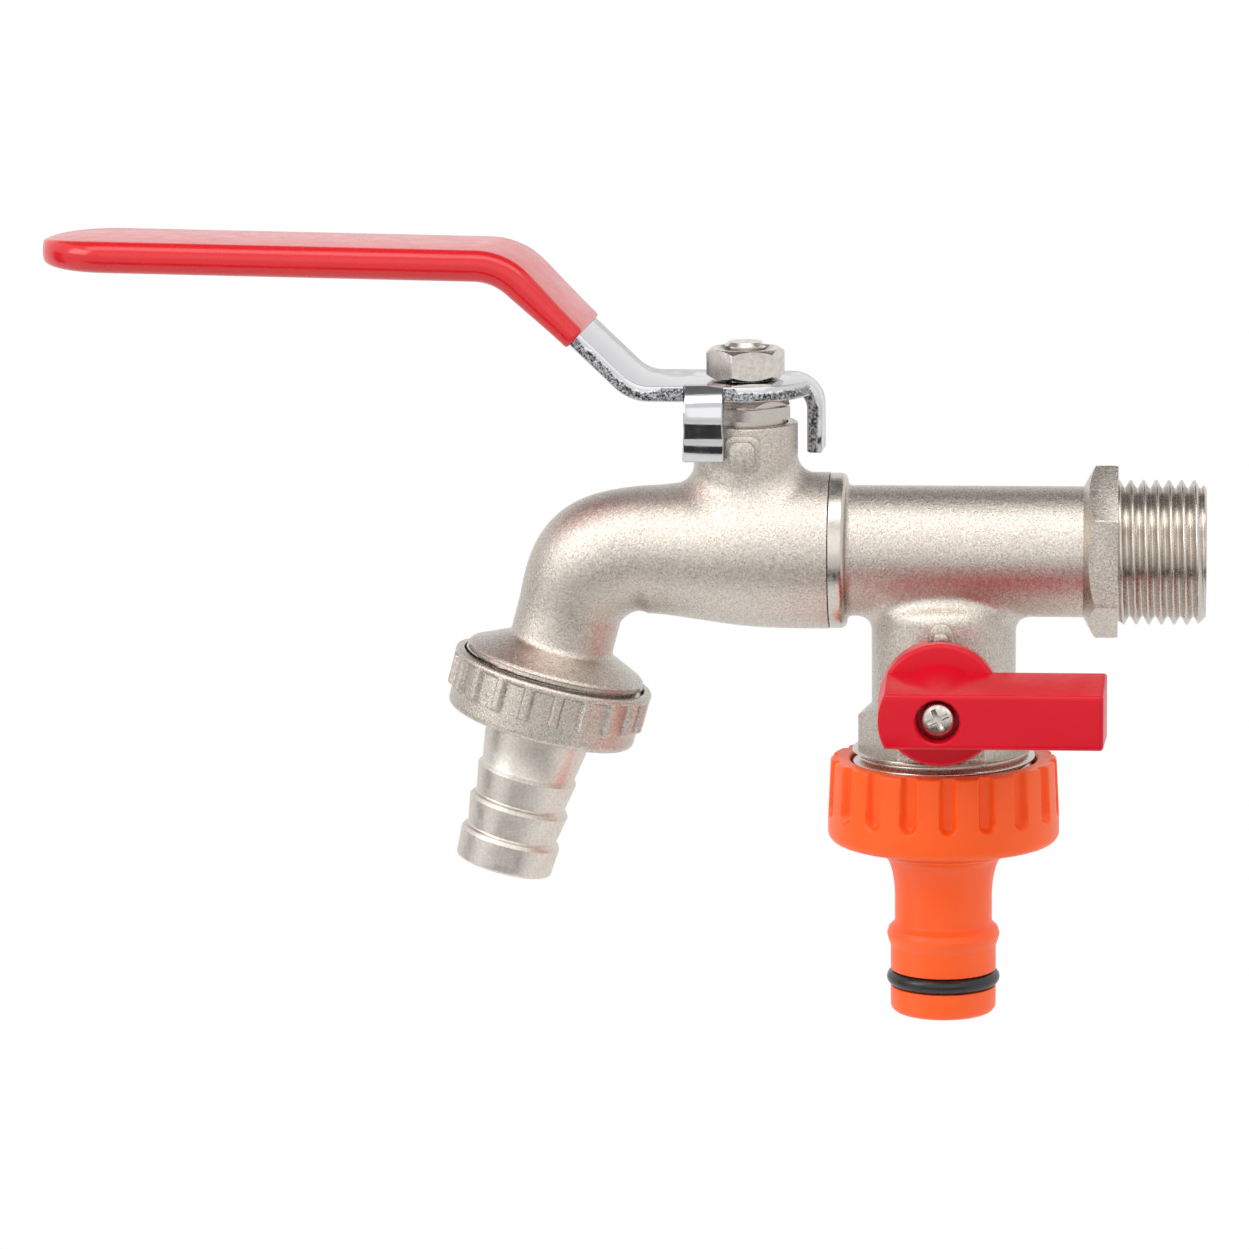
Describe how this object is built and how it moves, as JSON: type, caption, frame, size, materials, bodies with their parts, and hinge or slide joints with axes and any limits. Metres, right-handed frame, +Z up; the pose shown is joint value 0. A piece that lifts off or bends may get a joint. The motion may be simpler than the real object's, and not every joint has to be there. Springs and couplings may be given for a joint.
{
  "type": "double outlet garden tap",
  "caption": "Nickel plated brass ball tap with a red lever, a hose tail on the sloping spout and a second outlet below the inlet with its own handle and an orange adaptor",
  "frame": {"origin": "centre of the inlet hexagon's face that stops against the wall, on the inlet axis", "axes": "+X along the inlet thread into the wall, +Z up, the branch handle faces -Y"},
  "size_m": [0.1684, 0.0455, 0.113],
  "materials": {
    "nickel": "satin",
    "bright_nickel": "satin",
    "plain_brass": "satin",
    "polished_ball": "gloss",
    "lever_steel": "gloss",
    "zinc_steel": "satin",
    "screw_steel": "satin",
    "seal_white": "matte",
    "black_rubber": "satin",
    "red_vinyl": "gloss",
    "red_plastic": "gloss",
    "orange_plastic": "satin",
    "orange_nut": "satin"
  },
  "bodies": {
    "tap_body": {"inlet_body": "nickel", "spout_body": "nickel", "main_seat_inlet": "seal_white", "main_seat_outlet": "seal_white", "stem_thrust_washer": "seal_white", "stem_packing": "seal_white", "gland_nut": "nickel", "branch_seat_upper": "seal_white", "branch_seat_lower": "seal_white", "branch_retainer": "plain_brass"},
    "lever": {"lever_arm": "lever_steel", "lever_sleeve": "red_vinyl", "lever_nut": "zinc_steel", "main_stem": "plain_brass", "main_ball": "polished_ball"},
    "branch_lever": {"branch_handle": "red_plastic", "handle_screw": "screw_steel", "branch_stem": "plain_brass", "branch_stem_o_ring": "black_rubber", "branch_ball": "polished_ball"},
    "tail": {"hose_tail": "bright_nickel", "hose_tail_washer": "black_rubber"},
    "tail_nut": {"union_nut": "nickel"},
    "nozzle": {"adaptor_nozzle": "orange_plastic", "adaptor_o_ring": "black_rubber", "adaptor_washer": "black_rubber"},
    "nozzle_nut": {"adaptor_nut": "orange_nut"}
  },
  "joints": [
    {"name": "lever_turn", "type": "hinge", "parent": "tap_body", "child": "lever", "pos_m": [-0.0535, 0, 0.0239], "axis": [0, 0, 1], "range_deg": [-87.6, 2.4]},
    {"name": "branch_turn", "type": "hinge", "parent": "tap_body", "child": "branch_lever", "pos_m": [-0.025, -0.015, -0.01955], "axis": [0, -1, 0], "range_deg": [0, 90]},
    {"name": "tail_slide", "type": "slide", "parent": "tap_body", "child": "tail", "axis": [-0.2588, 0, -0.9659], "range_m": [0, 0.0036]},
    {"name": "tail_nut_turn", "type": "hinge", "parent": "tail", "child": "tail_nut", "pos_m": [-0.08257, 0, -0.02173], "axis": [-0.2588, 0, -0.9659], "range_deg": [0, 716]},
    {"name": "nozzle_slide", "type": "slide", "parent": "tap_body", "child": "nozzle", "axis": [0, 0, -1], "range_m": [0, 0.0036]},
    {"name": "nozzle_nut_turn", "type": "hinge", "parent": "nozzle", "child": "nozzle_nut", "pos_m": [-0.025, 0, -0.036], "axis": [0, 0, -1], "range_deg": [0, 716]}
  ],
  "couplings": [
    {"joint": "tail_nut_turn", "follows": "tail_slide", "rad_per_m": 3463.7},
    {"joint": "nozzle_nut_turn", "follows": "nozzle_slide", "rad_per_m": 3463.7}
  ]
}
